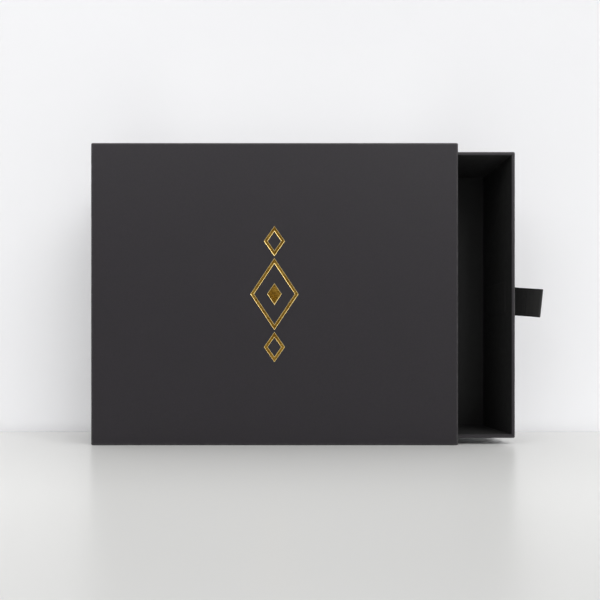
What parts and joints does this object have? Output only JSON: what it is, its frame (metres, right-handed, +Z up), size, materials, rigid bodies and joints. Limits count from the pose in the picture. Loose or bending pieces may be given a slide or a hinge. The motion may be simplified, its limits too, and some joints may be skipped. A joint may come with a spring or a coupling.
{
  "type": "sliding drawer gift box",
  "caption": "Rigid paper-wrapped gift box: a sleeve closed at one end and a shallow tray that slides out of it as a drawer by a ribbon pull.",
  "frame": {"origin": "centre of the sleeve's lower side, the long narrow face that the box stands on", "axes": "+X the way that the drawer slides out, +Y from the big front face to the back face, +Z up as the box stands"},
  "size_m": [0.2371, 0.05, 0.1514],
  "materials": {
    "charcoal_wrap": "matte",
    "black_lining": "matte",
    "greyboard": "matte",
    "stay_tape": "matte",
    "gold_foil": "gloss",
    "black_ribbon": "satin"
  },
  "bodies": {
    "sleeve": {"sleeve_front_board": "greyboard", "sleeve_back_board": "greyboard", "sleeve_upper_board": "greyboard", "sleeve_lower_board": "greyboard", "sleeve_end_board": "greyboard", "sleeve_corner_tapes": "stay_tape", "sleeve_wrap": "charcoal_wrap", "sleeve_end_sheet": "charcoal_wrap", "sleeve_lining": "black_lining", "sleeve_end_lining": "black_lining", "foil_ornament": "gold_foil"},
    "drawer": {"tray_floor_board": "greyboard", "tray_front_board": "greyboard", "tray_rear_board": "greyboard", "tray_upper_board": "greyboard", "tray_lower_board": "greyboard", "tray_corner_tapes": "stay_tape", "tray_wrap": "charcoal_wrap", "tray_floor_sheet": "black_lining", "ribbon_pull": "black_ribbon"}
  },
  "joints": [
    {"name": "drawer_slide", "type": "slide", "parent": "sleeve", "child": "drawer", "axis": [1, 0, 0], "range_m": [-0.0298, 0.1402]}
  ]
}
